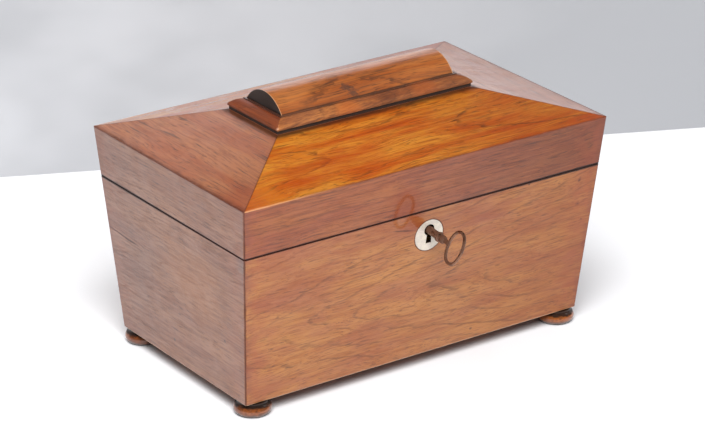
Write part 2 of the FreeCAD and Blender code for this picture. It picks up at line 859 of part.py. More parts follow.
def key_bow():
    """Oval ring of round wire, made of four tangent arcs."""
    rise = bow_half_width - bow_end_radius
    narrow = bow_half_length - bow_end_radius
    side_radius = (rise ** 2 + bow_half_length ** 2 - bow_end_radius ** 2) / (2 * narrow)
    shift = side_radius - bow_half_length
    join = math.degrees(math.atan2(rise, shift))
    ring = bow_bend(-shift, 0, side_radius, -join, 2 * join)
    ring = ring.fuse(bow_bend(0, rise, bow_end_radius, join, 180 - 2 * join))
    ring = ring.fuse(bow_bend(shift, 0, side_radius, 180 - join, 2 * join))
    return ring.fuse(bow_bend(0, -rise, bow_end_radius, 180 + join, 180 - 2 * join))


def key():
    """The whole key, as it goes in: bit downwards and bow upright."""
    half = bit_thickness / 2
    pipe = drill_pin + drill_pin_room
    inside = (key_shank + pipe) / 2
    bit = box(-half, half, case_inside + bit_room, plate_face - key_tip_gap, -bit_reach, -inside)
    return key_stem().fuse(key_bow()).fuse(bit).removeSplitter()


# Whole caddy
def cut_all(solid, cutters):
    for cutter in cutters:
        solid = solid.cut(cutter)
    return solid


def caddy():
    """Every piece of the caddy by name."""
    pieces = {}
    pegs = [peg_hole(x, y) for x, y in foot_signs.values()]

    for side, solid in base_walls().items():
        pieces[side + "_wall"] = cut_all(solid, pegs)
    pieces["bottom_board"] = cut_all(bottom_board(), pegs)
    for name, (x, y) in foot_signs.items():
        pieces["foot_" + name] = foot(x, y)
    for side, solid in linings().items():
        pieces["lining_" + side] = solid
    pieces["divider"] = middle_divider()
    pieces.update(lid_boards())
    pieces["lid_lining"] = lid_lining()
    pieces["plinth"] = plinth()
    for side in corner_signs:
        pieces["skirt_" + side] = skirt(side)
    pieces["crest"] = crest()

    for name, sign in (("left", -1), ("right", 1)):
        pieces["tea_liner_" + name] = tea_liner(sign)
        pieces["tea_lid_" + name] = inner_lid(sign)
        pieces["tea_knob_" + name] = knob(sign)
        pieces["hinge_leaf_base_" + name] = hinge_leaf(sign, -1)
        pieces["hinge_leaf_lid_" + name] = hinge_leaf(sign, 1)
        pieces["hinge_pin_" + name] = hinge_pin(sign)
        pieces["back_wall"] = pieces["back_wall"].cut(hinge_recess(sign, -1))
        pieces["lid_back"] = pieces["lid_back"].cut(hinge_recess(sign, 1))
    pieces["hinge_screws_base"] = hinge_screws(-1)
    pieces["hinge_screws_lid"] = hinge_screws(1)

    pieces["front_wall"] = cut_all(pieces["front_wall"], front_wall_cutters())
    pieces["lid_front"] = cut_all(pieces["lid_front"], lid_front_cutters())
    pieces["escutcheon"] = on_front(escutcheon())
    pieces["lock_plate"] = on_front(lock_plate_solid())
    pieces["lock_cap"] = on_front(lock_cap())
    pieces["lock_pin"] = on_front(lock_pin())
    pieces["lock_bolt"] = on_front(lock_bolt())
    pieces["lock_screws"] = lock_screws()
    pieces["link_plate"] = on_front(link_plate())
    pieces["link_screws"] = link_screws()
    pieces["key"] = on_front(key(), key_rest_turn)
    return pieces


pieces = caddy()
key_front_y = pieces["key"].optimalBoundingBox().YMin
footprint_shift = -(key_front_y + lid_width / 2) / 2

os.makedirs("parts", exist_ok=True)
for name, shape in pieces.items():
    placed = shape.copy()
    placed.translate(at(0, footprint_shift, 0))
    placed.exportStep("parts/" + name + ".step")
print(len(pieces), "pieces, moved", round(footprint_shift, 3), "mm along Y")
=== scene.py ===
# %% [markdown] A rosewood tea caddy, dressed for a picture. This lesson leaves their shapes alone and gives
# each one the finish that the real piece has. Only the velvet panel inside the lid is made anew, because
# cloth isn't a flat board.

# %% Load the caddy
import math

import bmesh
import bpy
import numpy as np
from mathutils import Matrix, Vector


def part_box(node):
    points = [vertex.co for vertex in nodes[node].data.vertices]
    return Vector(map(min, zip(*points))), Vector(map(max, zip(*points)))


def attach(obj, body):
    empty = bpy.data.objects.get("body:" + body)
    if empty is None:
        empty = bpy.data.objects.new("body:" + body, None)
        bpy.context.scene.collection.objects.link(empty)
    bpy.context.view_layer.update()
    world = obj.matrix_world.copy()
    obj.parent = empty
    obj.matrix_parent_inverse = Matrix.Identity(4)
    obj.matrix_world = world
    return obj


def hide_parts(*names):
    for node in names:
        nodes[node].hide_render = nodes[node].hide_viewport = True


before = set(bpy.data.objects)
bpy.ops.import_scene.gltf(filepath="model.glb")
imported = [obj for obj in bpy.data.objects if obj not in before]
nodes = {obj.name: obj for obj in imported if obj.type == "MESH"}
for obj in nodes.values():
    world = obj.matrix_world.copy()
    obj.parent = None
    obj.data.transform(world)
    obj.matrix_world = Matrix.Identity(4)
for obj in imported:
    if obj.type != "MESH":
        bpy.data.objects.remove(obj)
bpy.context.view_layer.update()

# %% [markdown]
# A finish is a tree of shader nodes. It could be built with one call for each node and one for each link,
# but a long tree is hard to read that way. The class below wraps one output socket instead, so that
# `1 - mask` or `x * 2` adds the Math node by itself. Its method `node` adds any kind of node: the settings
# come first, then a number, a colour or another wire for each socket.


# %% Wires between shader nodes
def fill(tree, node, sockets):
    """Puts a number, a colour or a wire into each named socket of a node."""
    for name, value in sockets.items():
        if isinstance(value, Wire):
            tree.links.new(value.socket, node.inputs[name])
        else:
            node.inputs[name].default_value = value


class Wire:
    """One output socket of a finish. Sums of wires and numbers add Math nodes."""

    def __init__(self, tree, socket=None):
        self.tree = tree
        self.socket = socket

    def node(self, kind, settings, sockets, out=0):
        """Adds a node, sets it up, fills its sockets and gives back one of its outputs."""
        made = self.tree.nodes.new(kind)
        for name, value in settings.items():
            setattr(made, name, value)
        fill(self.tree, made, sockets)
        return Wire(self.tree, made.outputs[out])

    def math(self, operation, first, second=0.0):
        """Adds a Math node."""
        return self.node("ShaderNodeMath", {"operation": operation}, {0: first, 1: second})

    def __add__(self, other):
        return self.math("ADD", self, other)

    def __radd__(self, other):
        return self.math("ADD", other, self)

    def __sub__(self, other):
        return self.math("SUBTRACT", self, other)

    def __rsub__(self, other):
        return self.math("SUBTRACT", other, self)

    def __mul__(self, other):
        return self.math("MULTIPLY", self, other)

    def __rmul__(self, other):
        return self.math("MULTIPLY", other, self)

    def __truediv__(self, other):
        return self.math("DIVIDE", self, other)

    def __rtruediv__(self, other):
        return self.math("DIVIDE", other, self)

    def __pow__(self, other):
        return self.math("POWER", self, other)

    def __rpow__(self, other):
        return self.math("POWER", other, self)

    def __abs__(self):
        return self.math("ABSOLUTE", self)


print("operators:", [name for name in vars(Wire) if name.startswith("__")])

# %% [markdown]
# Dirt sits in the caddy's joints and wear on its arrises, so the patterns have to know where these are. The
# places could be typed in again, but the pieces have them already, so they are read from the frame's boxes.
# All sizes here are in millimetres, and widths are counted from the middle of the case: the key stands out
# in front of it, so the origin of the frame isn't there. The two cants show in no box, so they repeat the
# part's own sizes.


# %% Sizes of the case
def box_mm(*names):
    """Lowest and highest corner of some pieces together, in millimetres of the frame."""
    corners = np.array([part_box(name) for name in names]) * 1000
    return corners[:, 0].min(axis=0).tolist(), corners[:, 1].max(axis=0).tolist()


lid_low, lid_high = box_mm("lid_front", "lid_back", "lid_left", "lid_right")
base_low, base_high = box_mm("front_wall", "back_wall", "left_wall", "right_wall")
crown_high = box_mm("crown_board")[1]
middle_y = (lid_low[1] + lid_high[1]) / 2

half_length, half_width = lid_high[0], lid_high[1] - middle_y
base_z, arris_z = base_low[2], lid_high[2]
parting_z = (base_high[2] + lid_low[2]) / 2
crown_x, crown_y, crown_z = crown_high[0], crown_high[1] - middle_y, crown_high[2]
plinth_top_z = box_mm("plinth")[1][2]
crest_end, crest_foot_z = box_mm("crest")[1][0], box_mm("skirt_front")[1][2]

side_height = arris_z - base_z
end_cant, side_cant = 7.7, 12.6  # how far the ends and the long sides come in over their height
roof_rise = crown_z - arris_z
end_run, side_run = half_length - crown_x, half_width - crown_y  # of the roof slopes, seen from above
print("case", round(half_length * 2, 1), "by", round(half_width * 2, 1), "mm, parts at", round(parting_z, 2))
print("slope of the roof", round(math.degrees(math.atan2(roof_rise, side_run)), 1), "degrees")

# %% [markdown]
# All patterns here are sums of a few simple ones. `noise` stretches Blender's noise by a length in each
# direction, `smooth` turns a value into a soft mask from 0 to 1, `most` lays masks over each other, and
# `blend` mixes two colours by a mask. Ramps could do the same, but a mask with two limits reads as a size.


# %% Helpers for patterns
def vector(operation, first, second=(0.0, 0.0, 0.0), out=0):
    """Adds a Vector Math node. Its output 0 is a vector and its output 1 is a number."""
    return first.node("ShaderNodeVectorMath", {"operation": operation}, {0: first, 1: second}, out)


def split(place):
    """The three numbers of a vector."""
    made = place.node("ShaderNodeSeparateXYZ", {}, {0: place}).socket.node
    return [Wire(place.tree, socket) for socket in made.outputs]


def join(x, y, z):
    """Vector of three numbers."""
    return x.node("ShaderNodeCombineXYZ", {}, {0: x, 1: y, 2: z})


def noise(place, lengths, seed, detail=2.0, distortion=0.0):
    """Noise from about 0.3 to 0.7 whose lumps have the given lengths in millimetres."""
    scale = tuple(1 / length for length in lengths)
    shift = (seed * 7.3, seed * 3.1, seed * 5.7)
    scaled = place.node("ShaderNodeVectorMath", {"operation": "MULTIPLY_ADD"}, {0: place, 1: scale, 2: shift})
    return place.node(
        "ShaderNodeTexNoise",
        {},
        {"Vector": scaled, "Scale": 1.0, "Detail": detail, "Roughness": 0.55, "Distortion": distortion},
    )


def smooth(value, low, high):
    """Soft step: 0 below low, 1 above high, and the other way round when low is the larger one."""
    return value.node(
        "ShaderNodeMapRange",
        {"interpolation_type": "SMOOTHSTEP"},
        {"Value": value, "From Min": low, "From Max": high},
    )


def most(first, *others):
    """The largest of several masks, point by point."""
    for other in others:
        first = first.math("MAXIMUM", first, other)
    return first


def blend(amount, first, second):
    """Colour between two colours."""
    return amount.node("ShaderNodeMix", {"data_type": "RGBA"}, {0: amount, 6: first, 7: second}, 2)


def colour(red, green, blue):
    """Colour as a screen shows it, 0 to 255, as the linear colour that a shader wants."""
    shares = [part / 255 for part in (red, green, blue)]
    return (*[s / 12.92 if s <= 0.04045 else ((s + 0.055) / 1.055) ** 2.4 for s in shares], 1.0)


print("middle grey as a linear colour:", [round(part, 3) for part in colour(128, 128, 128)])

# %% [markdown]
# Each finish starts from the place on the caddy in millimetres, so that a size in a pattern reads as a size
# on the real wood. It is taken from Object coordinates. A map unwrapped from each piece would also do, but
# these need no unwrapping, run on from board to board, and stay with a piece when the lid opens.


# %% Helpers for materials
def start(name):
    """New material and the place on the caddy in millimetres, as a wire."""
    material = bpy.data.materials.new(name)
    material.use_nodes = True
    place = Wire(material.node_tree).node("ShaderNodeTexCoord", {}, {}, "Object")
    grown = place.node("ShaderNodeVectorMath", {"operation": "SCALE"}, {0: place, "Scale": 1000.0})
    return material, vector("SUBTRACT", grown, (0.0, middle_y, 0.0))


def surface(material, sockets):
    """Fills sockets of a material's surface with numbers or wires."""
    fill(material.node_tree, material.node_tree.nodes["Principled BSDF"], sockets)


def bump(height, strength, depth_mm):
    """Normal of a surface that has small heights from 0 to 1."""
    depth = depth_mm / 1000
    return height.node("ShaderNodeBump", {}, {"Strength": strength, "Distance": depth, "Height": height})


def dress(material, *names):
    """Puts a finish on pieces of the caddy."""
    for name in names:
        slots = nodes[name].data.materials
        slots.clear()
        slots.append(material)
    print(material.name, "on", ", ".join(names))


print("the middle of the case is", round(middle_y, 2), "mm behind the origin")

# %% [markdown]
# Rosewood has three things to show. Its growth rings cut the face of a board as long lines, which close into
# arches where the saw meets them flat. Between them run fine streaks, dark veins and redder patches. And
# everywhere there are pores, dashes a few millimetres long and a third of a millimetre wide. A picture of
# wood would have to be fitted to each canted board, so the figure is worked out in space instead, as if each
# board were sawn from a log. The age of the wood at a point is its distance from an axis beside the board,
# less a slope times the way along the grain from the place where the lines fork, and all of it sways a
# little: `age = (radius - slope * |run - fork|) / width`. Dusk darkens a board toward the far end of its run,
# and slant turns the grain out of the board's own direction.

# %% Figure of the rosewood
patch_red = colour(128, 60, 42)


def figure(place, along, tones, seed, axis, width=7.0, sway=16.0, lines=0.5, veins=0.4, pores=0.4,
           streaks=1.0, blush=0.0, dusk=0.0, slant=0.0):
    """Colour of the sawn wood, its streaks, and the mask of what takes no polish.

    The tones go from pale to dark, and the axis is (across, height, fork, slope).
    """
    pale, red, deep, dark = tones
    axis_across, axis_height, fork, slope = axis
    x, y, z = split(place)
    run, across = (x, y) if along == "X" else (y, x)
    turn = math.radians(slant)
    run, z = run * math.cos(turn) + z * math.sin(turn), z * math.cos(turn) - run * math.sin(turn)
    grain = join(run, across, z)
    bend = (noise(grain, (80, 22, 22), seed, 2.0) - 0.5) * sway
    shake = (noise(grain, (9, 2.5, 2.5), seed + 1, 2.0) - 0.5) * 2.4
    flow = join(run, across + bend, z + bend)

    off_across = across + bend - axis_across
    off_height = z + bend - axis_height
    radius = (off_across * off_across + off_height * off_height) ** 0.5
    age = (radius - abs(run - fork) * slope + shake) / width
    ring = age.math("FRACT", age)
    index = age.math("FLOOR", age)
    weight = index.node("ShaderNodeTexWhiteNoise", {"noise_dimensions": "1D"}, {"W": index + seed * 10})
    gaps = smooth(noise(flow, (16, 3, 3), seed + 2, 2.0), 0.40, 0.56)
    late_wood = smooth(ring, 0.80, 0.95) * smooth(ring, 1.0, 0.97)
    line = late_wood * smooth(weight, 0.2, 0.7) * (0.25 + gaps * 0.75)

    streak = noise(flow, (30, 0.8, 0.8), seed + 3, 4.0)
    vein = smooth(noise(flow, (30, 1.5, 1.5), seed + 4, 4.0), 0.56, 0.72)
    zone = smooth(noise(flow, (70, 11, 11), seed + 5, 2.0), 0.36, 0.64)
    pore = smooth(noise(flow, (8.0, 0.45, 0.45), seed + 6, 1.0), 0.57, 0.70)
    patch = smooth(noise(grain, (36, 13, 13), seed + 7, 3.0), 0.44, 0.62)

    wood = blend(zone, pale, red)
    wood = blend(patch * blush, wood, patch_red)
    wood = blend(smooth(weight, 0.3, 0.9) * 0.25, wood, red)
    wood = blend(smooth(run, -30.0, 90.0) * dusk, wood, deep)
    wood = blend(smooth(streak, 0.44, 0.66) * (0.6 * streaks), wood, deep)
    wood = blend(smooth(streak, 0.46, 0.30) * (0.4 * streaks), wood, pale)
    for mask in (line * lines, vein * veins, pore * pores):
        wood = blend(mask, wood, dark)
    bare = most(smooth(streak, 0.38, 0.62) * 0.5, line * 0.8, vein * 0.6, pore * 0.8)
    return wood, streak, bare


print("redder patches in the wood:", [round(part, 3) for part in patch_red[:3]])

# %% [markdown]
# The sides lean, so the distance of a point from a corner depends on its height. These sums find how far any
# point is behind the outer faces, from the nearest upright corner and from the nearest hip of the roof. Wear
# could also be found from the mesh, by how sharp its edges are, but the sums work on any mesh and tell a
# mitre from an arris. The last four give a point on a board from two numbers: the third follows from the cant
# or from the slope of the roof.


# %% Distances on the case
def face_depths(x, y, z):
    """How far a point is behind the nearer end and behind the nearer long side."""
    drop = (arris_z - z) / side_height
    return half_length - end_cant * drop - abs(x), half_width - side_cant * drop - abs(y)


def corner_distance(x, y, z):
    """How far a point of a side is from the nearest upright corner."""
    return most(*face_depths(x, y, z))


def depth_inside(x, y, z):
    """How far a point is behind the nearest outer face of the sides."""
    behind_end, behind_side = face_depths(x, y, z)
    return behind_end.math("MINIMUM", behind_end, behind_side)


def hip_distance(x, y):
    """How far a point of the roof is from the nearest hip, seen from above."""
    off = (abs(x) - crown_x) * side_run - (abs(y) - crown_y) * end_run
    return abs(off / math.hypot(end_run, side_run))


def on_front(x, z):
    """Point of the front at a height."""
    return x, side_cant * (arris_z - z) / side_height - half_width, z


def on_left(y, z):
    """Point of the left end at a height."""
    return end_cant * (arris_z - z) / side_height - half_length, y, z


def on_front_slope(x, y):
    """Point of the roof's front slope, given from above."""
    return x, y, arris_z + (half_width + y) * roof_rise / side_run


def on_left_slope(x, y):
    """Point of the roof's left slope, given from above."""
    return x, y, arris_z + (half_length + x) * roof_rise / end_run


print("front at the parting line:", [round(v, 2) for v in on_front(0.0, parting_z)])

# %% [markdown]
# Handling wears the outer boards. The wood is redder toward the corners, the long edges of the roof are
# rubbed, pale at the left and dark to the right, and a pale line is painted along the lower edge as a
# highlight. Worn arrises could be modelled as rounded edges, but these are about a millimetre wide or less,
# so they are painted. A noise gives them a ragged rim.

# %% Worn edges
corner_red, corner_brown = colour(136, 62, 38), colour(84, 44, 34)
rubbed_pale, rubbed_dark = colour(190, 134, 92), colour(96, 46, 26)
lower_edge_highlight = colour(180, 150, 122)


def worn(wood, place, along, ragged):
    """Wood that is redder toward the corners, rubbed on the roof's edges, with a painted highlight along the
    lower edge.
    """
    x, y, z = split(place)
    corner = corner_distance(x, y, z) + (ragged - 0.5) * 0.8
    outside = smooth(depth_inside(x, y, z), 1.2, 0.5)
    reddened = 0.35 if along == "X" else 0.15
    wood = blend(smooth(corner, 26.0, 3.0) * smooth(ragged, 0.3, 0.6) * reddened, wood, corner_red)
    wood = blend(smooth(corner, 6.0, 0.5) * smooth(ragged, 0.38, 0.6) * 0.35, wood, corner_brown)
    # painted highlight along the lower edge
    wood = blend(smooth(z - base_z, 0.9, 0.4) * outside * 0.6, wood, lower_edge_highlight)
    if along == "X":
        rubbed = blend(smooth(x, -112.0, -40.0), rubbed_pale, rubbed_dark)
        edge = abs(z - arris_z) + (ragged - 0.5) * 0.5
        wood = blend(smooth(edge, 0.38, 0.1) * 0.75, wood, rubbed)
    return wood


print("lower edge at", round(base_z, 2), "mm and edge of the roof at", round(arris_z, 2), "mm")

# %% [markdown]
# Dirt gathers in the mitres, along the hips and the short edges of the roof and round the let-in disc of the
# keyhole, and the roof just under the plinth is painted black as shade. The joint between base and lid is a
# black line, thicker toward the right and the back. The joints themselves are in the solids, but they are too
# fine to look dark by shadow alone, so the dirt is painted over them.

# %% Dirt in the joints
joint_brown, joint_and_shade_black = colour(60, 22, 10), colour(38, 23, 17)


def inlay_rim(place, node):
    """Mask of the dark line of glue and dirt round a let-in disc."""
    low, high = box_mm(node)
    centre = tuple(np.add(low, high) / 2 - (0.0, middle_y, 0.0))
    radius = (high[0] - low[0]) / 2
    return smooth(abs(vector("DISTANCE", place, centre, 1) - radius), 0.8, 0.4) * 0.75


def joint_dirt_and_shade(place, along, ragged, inlays):
    """Masks of the brown dirt in the joints, and of the black in the deepest of them together with the
    painted shade under the plinth.
    """
    x, y, z = split(place)
    corner = corner_distance(x, y, z) + (ragged - 0.5) * 0.8
    outside = smooth(depth_inside(x, y, z), 1.2, 0.5)
    on_roof = smooth(z, arris_z - 0.3, arris_z)
    hips = smooth(hip_distance(x, y), 0.5, 0.15) * on_roof * 0.6
    dirt_and_shade = most(smooth(corner, 1.0, 0.4) * 0.75, hips)
    if along == "X":
        away = smooth(x, 0.0, 110.0)
    else:
        away = smooth(y, -70.0, 60.0)
        edge = abs(z - arris_z) + (ragged - 0.5) * 0.5
        band = smooth(z + (ragged - 0.5) * 1.6, arris_z + 1.0, arris_z + 0.2) * on_roof
        dirt_and_shade = most(dirt_and_shade, smooth(edge, 0.55, 0.15) * 0.7, band * 0.4)
    gap = smooth(abs(z - parting_z) + (ragged - 0.5) * 0.4 - away * 0.3, 0.9, 0.35) * outside
    dirt_and_shade = most(dirt_and_shade, gap, *[inlay_rim(place, node) for node in inlays])
    # painted shade on the roof just under the plinth
    plinth_shade = smooth(z + (ragged - 0.5) * 0.6, crown_z - 1.3, crown_z - 0.2) * 0.8
    return dirt_and_shade, most(gap * (0.5 + away * 0.4), plinth_shade)


def aged_and_shaded(wood, place, along, inlays):
    """Wood with worn edges, dark joints and painted shade under the plinth, and the mask of the joints and
    the shade.
    """
    ragged = noise(place, (7, 7, 7), 17.0, 3.0)
    wood = worn(wood, place, along, ragged)
    dirt_and_shade, black = joint_dirt_and_shade(place, along, ragged, inlays)
    wood = blend(black, blend(dirt_and_shade, wood, joint_brown), joint_and_shade_black)
    return wood, most(dirt_and_shade, black)


print("joint between base and lid at", round(parting_z, 2), "mm")

# %% [markdown]
# Single marks are spots round a point. A small one is a pit or a chip with a ragged rim. A large one is a
# stain in the wood, whose rim drifts along the grain. A hair crack is a straight line with a small wave
# in it. Pits and cracks also break the polish. All of them could be cut into the mesh, but as masks of
# a distance they cost no geometry and leave the solids as they are.

# %% Marks and cracks
pit_size = 4.0  # a smaller spot is a pit in the polish
slit_brown = colour(62, 35, 26)


def marked(wood, place, spots):
    """Wood with spots, each a place, a radius, a strength and a colour, and the mask of the pits."""
    ragged = noise(place, (2.2, 2.2, 2.2), 18.0, 2.0) - 0.5
    drift = noise(place, (30.0, 30.0, 7.0), 18.5, 4.0) - 0.5
    pits = 0.0
    for spot, size, strength, tint in spots:
        rim = ragged if size < pit_size else drift
        step = vector("DISTANCE", place, spot, 1) + rim * (size * 3.0)
        mask = smooth(step, size * 1.3, size * 0.1) * strength
        wood = blend(mask, wood, tint)
        if size < pit_size:
            pits = most(mask, pits)
    return wood, pits


def cracked(wood, place, cracks):
    """Wood with hair cracks, each a begin, an end and a strength, and the mask of the slits."""
    wave = (noise(place, (5, 5, 5), 19.0, 2.0) - 0.5) * 0.6
    slits = 0.0
    for begin, end, strength in cracks:
        way = np.subtract(end, begin)
        length = math.hypot(*way)
        off = vector("SUBTRACT", place, begin)
        run = vector("DOT_PRODUCT", off, tuple(way / length), 1)
        size = vector("LENGTH", off, out=1)
        gap = most(size * size - run * run, 0.0) ** 0.5 + wave
        ends = smooth(run, 0.0, 3.0) * smooth(run, length, length - 8.0)
        mask = smooth(abs(gap), 0.6, 0.25) * ends * strength
        wood = blend(mask, wood, slit_brown)
        slits = most(mask * 1.3, slits)
    return wood, slits


print("spots under", pit_size, "mm are pits")

# %% [markdown]
# The French polish is a clear coat over the wood. Most of the pink haze on the sides is the white table,
# mirrored in the coat, so the wood itself is darker and redder than it looks. One glossy surface could stand
# for both, but then the wood's own soft shine would be lost. The coat is a little uneven, as a finish laid on
# by hand is. It is thin where the wood is bare or dirty, and on the long sides it has dulled to the right.

# %% Polish
usual_polish = 0.56
dulled = 0.27


def polished(material, place, wood, streak, bare, polish):
    """Fills a material with wood under French polish, which is missing where the wood is bare."""
    cloud = smooth(noise(place, (14, 9, 9), 91.0, 3.0), 0.3, 0.7)
    surface(
        material,
        {
            "Base Color": wood,
            "Roughness": 0.36 + streak * 0.2,
            "Specular IOR Level": 0.25,
            "Coat Weight": polish * (0.9 + cloud * 0.24 - bare * 0.7),
            "Coat Roughness": 0.07,
            "Coat IOR": 1.6,
            "Normal": bump(streak - bare * 0.8, 0.08, 0.12),
        },
    )
    return material


def rosewood(name, along, tones, seed, axis, polish, spots=(), cracks=(), inlays=(), **style):
    """Outer board of the case or the lid, along the front (X) or along an end (Y)."""
    material, place = start(name)
    wood, streak, bare = figure(place, along, tones, seed, axis, **style)
    wood, pits = marked(wood, place, spots)
    wood, slits = cracked(wood, place, cracks)
    wood, dirt_and_shade = aged_and_shaded(wood, place, along, inlays)
    if along == "X":
        polish = polish - smooth(split(place)[0], 0.0, 110.0) * dulled
    return polished(material, place, wood, streak, most(dirt_and_shade * 1.6, bare, pits, slits), polish)


print("usual polish", usual_polish, "and", round(usual_polish - dulled, 2), "at the right end of the front")

# %% [markdown]
# This caddy has marks of its own: ink-dark pits, two hair cracks, flushes of red along the joint and red
# streaks on the near slope. Above the key the wood is painted redder as a reflection of the key, laid over
# its real mirror image in the polish. A noise could scatter such marks anywhere, but these are what tells
# this caddy from another, so each is set one by one on its board.

# %% Marks of this caddy
ink, key_reflection_red = colour(46, 32, 28), colour(118, 44, 6)
flush, streak_red = colour(128, 60, 32), colour(140, 52, 4)
front_spots = [
    (on_front(-10.5, 66.0), 0.9, 0.8, ink),
    (on_front(100.7, 86.5), 1.4, 0.7, ink),
    (on_front(100.2, 72.7), 1.2, 0.7, ink),
    (on_front(104.4, 62.3), 0.9, 0.6, ink),
    (on_front(66.0, 92.4), 0.8, 0.8, ink),
    (on_front(35.4, 14.0), 0.9, 0.6, ink),
    # painted reflection of the key: a redder spot laid over its real mirror image in the polish
    (on_front(-9.0, 89.0), 8.0, 0.6, key_reflection_red),
    (on_front(-88.0, 92.0), 28.0, 0.45, flush),
    (on_front(-34.0, 98.0), 28.0, 0.45, flush),
    (on_front(38.0, 100.0), 26.0, 0.45, colour(122, 56, 34)),
    (on_front(113.0, 45.0), 26.0, 0.35, colour(112, 50, 34)),
]
left_spots = [
    (on_left(-18.0, 61.0), 26.0, 0.35, colour(138, 84, 42)),
    (on_left(40.0, 48.0), 26.0, 0.3, colour(92, 62, 52)),
    (on_left(-67.0, 90.0), 6.0, 0.5, colour(64, 50, 46)),
    (on_left(6.4, 20.2), 0.9, 0.7, ink),
    (on_left(-44.4, 39.1), 0.9, 0.7, ink),
]
# painted reflection of the key on the lid, laid over its real mirror image in the polish
lid_spots = [(on_front(-13.5, 100.0), 11.0, 0.5, key_reflection_red)]
slope_spots = [
    (on_front_slope(-70.0, -55.0), 13.0, 0.5, streak_red),
    (on_front_slope(-49.0, -55.5), 13.0, 0.5, streak_red),
    (on_front_slope(-28.0, -56.0), 12.0, 0.4, streak_red),
    (on_front_slope(-100.0, -62.0), 16.0, 0.5, colour(168, 100, 26)),
]
end_slope_spots = [(on_left_slope(-109.0, -60.0), 20.0, 0.45, colour(112, 44, 18))]
front_cracks = [(on_front(-22.0, 86.6), on_front(-5.0, 83.2), 0.65)]
left_cracks = [
    (on_left(67.0, 65.6), on_left(40.0, 63.5), 0.9),
    (on_left(50.0, 64.0), on_left(33.0, 64.0), 0.8),
]
history = {
    "front_wall": {"spots": front_spots, "cracks": front_cracks, "inlays": ["escutcheon"]},
    "left_wall": {"spots": left_spots, "cracks": left_cracks},
    "lid_front": {"spots": lid_spots},
    "roof_front": {"spots": slope_spots},
    "roof_left": {"spots": end_slope_spots},
}
print(sum(len(marks["spots"]) for marks in history.values()), "spots on", len(history), "boards")

# %% [markdown]
# The maker chose the veneer board by board. The front is calm, with wide arches. The ends are smoky and
# grey-brown. The lid's sides have fine lines, the front slope is the boldest and most orange piece, and the
# slopes at the ends are full of dark veins. One material could cover them all, but then the figure would run
# round the corners. Each board is its own log instead: its tones from pale to dark, its axis and its style.

# %% Outer boards
front_tones = (colour(160, 103, 46), colour(145, 84, 34), colour(114, 59, 30), colour(56, 37, 31))
roof_tones = (colour(170, 108, 32), colour(148, 62, 4), colour(118, 47, 2), colour(46, 27, 12))
left_tones = (colour(124, 75, 39), colour(113, 63, 32), colour(91, 52, 34), colour(46, 32, 30))
slope_tones = (colour(138, 83, 48), colour(130, 69, 36), colour(102, 56, 38), colour(46, 34, 32))
lid_tones = (colour(138, 74, 26), colour(126, 58, 20), colour(92, 46, 27), colour(46, 30, 28))

calm = dict(polish=usual_polish, width=8.0, lines=0.4, veins=0.15, pores=0.5, streaks=0.7, blush=0.35)
smoky = dict(polish=0.67, width=7.0, sway=7.0, lines=0.2, veins=0.15, pores=0.5, dusk=0.3)
lined = dict(polish=0.5, width=5.0, sway=8.0, lines=0.3, veins=0.35, pores=0.45)
bold = dict(polish=0.54, width=6.5, sway=14.0, lines=0.6, veins=0.35, pores=0.6, dusk=0.6)
veined = dict(polish=0.95, width=7.0, sway=10.0, lines=0.3, veins=0.7, pores=0.55)
boards = {
    "front_wall": ("X", front_tones, (-58.0, 46.0, -140.0, 0.22), {**calm, "dusk": 0.3}),
    "back_wall": ("X", front_tones, (58.0, 60.0, 140.0, 0.2), calm),
    "left_wall": ("Y", left_tones, (-96.0, 30.0, 90.0, 0.2), smoky),
    "right_wall": ("Y", left_tones, (96.0, 60.0, -90.0, 0.2), smoky),
    "lid_front": ("X", lid_tones, (-60.0, 160.0, 0.0, 0.03), {**lined, "dusk": 0.65}),
    "lid_back": ("X", lid_tones, (60.0, 160.0, 0.0, 0.03), lined),
    "lid_left": ("Y", left_tones, (-96.0, 160.0, 0.0, 0.03), smoky),
    "lid_right": ("Y", left_tones, (96.0, 160.0, 0.0, 0.03), smoky),
    "roof_front": ("X", roof_tones, (-44.0, 116.0, -8.0, 0.16), bold),
    "roof_back": ("X", roof_tones, (44.0, 116.0, 20.0, 0.16), {**bold, "polish": 1.0}),
    "roof_left": ("Y", slope_tones, (-80.0, 60.0, 0.0, 0.05), veined),
    "roof_right": ("Y", slope_tones, (80.0, 60.0, 0.0, 0.05), veined),
}
for seed, (node, (along, tones, axis, style)) in enumerate(boards.items(), 1):
    name = "rosewood_" + node
    dress(rosewood(name, along, tones, float(seed), axis, **history.get(node, {}), **style), node)

# %% [markdown]
# The crest, the skirt below it, the feet and the inner lids are the same wood. The groove under the crest and
# the soles of the feet are painted grey as shade, and the necks of the feet are painted black and dull as the
# shadow of the case. The function for the outer boards could dress them too, but they have none of its mitres
# and hips, so they take only the figure, this painted shade and a few marks.

# %% Turned and moulded rosewood
groove_shade_grey, sole_shade_grey, neck_shadow_black = colour(48, 34, 28), colour(46, 34, 29), colour(22, 18, 16)


def painted_shade(wood, place):
    """Wood with painted shade in the crest's groove, on the soles and on the necks of the feet, and the mask
    of the dull necks.
    """
    z = split(place)[2]
    ragged = (noise(place, (4.0, 4.0, 4.0), 20.0, 2.0) - 0.5) * 3.0
    # painted shadow of the case on the necks of the feet
    neck_shadow = smooth(abs(z - base_z) + ragged, 3.1, 1.5) * 0.94
    # painted shade in the groove under the crest
    wood = blend(smooth(abs(z - crest_foot_z), 0.65, 0.2) * 0.75, wood, groove_shade_grey)
    # painted shade on the soles of the feet
    wood = blend(smooth(z + ragged, 3.0, 0.9) * 0.75, wood, sole_shade_grey)
    return blend(neck_shadow, wood, neck_shadow_black), neck_shadow * 1.4


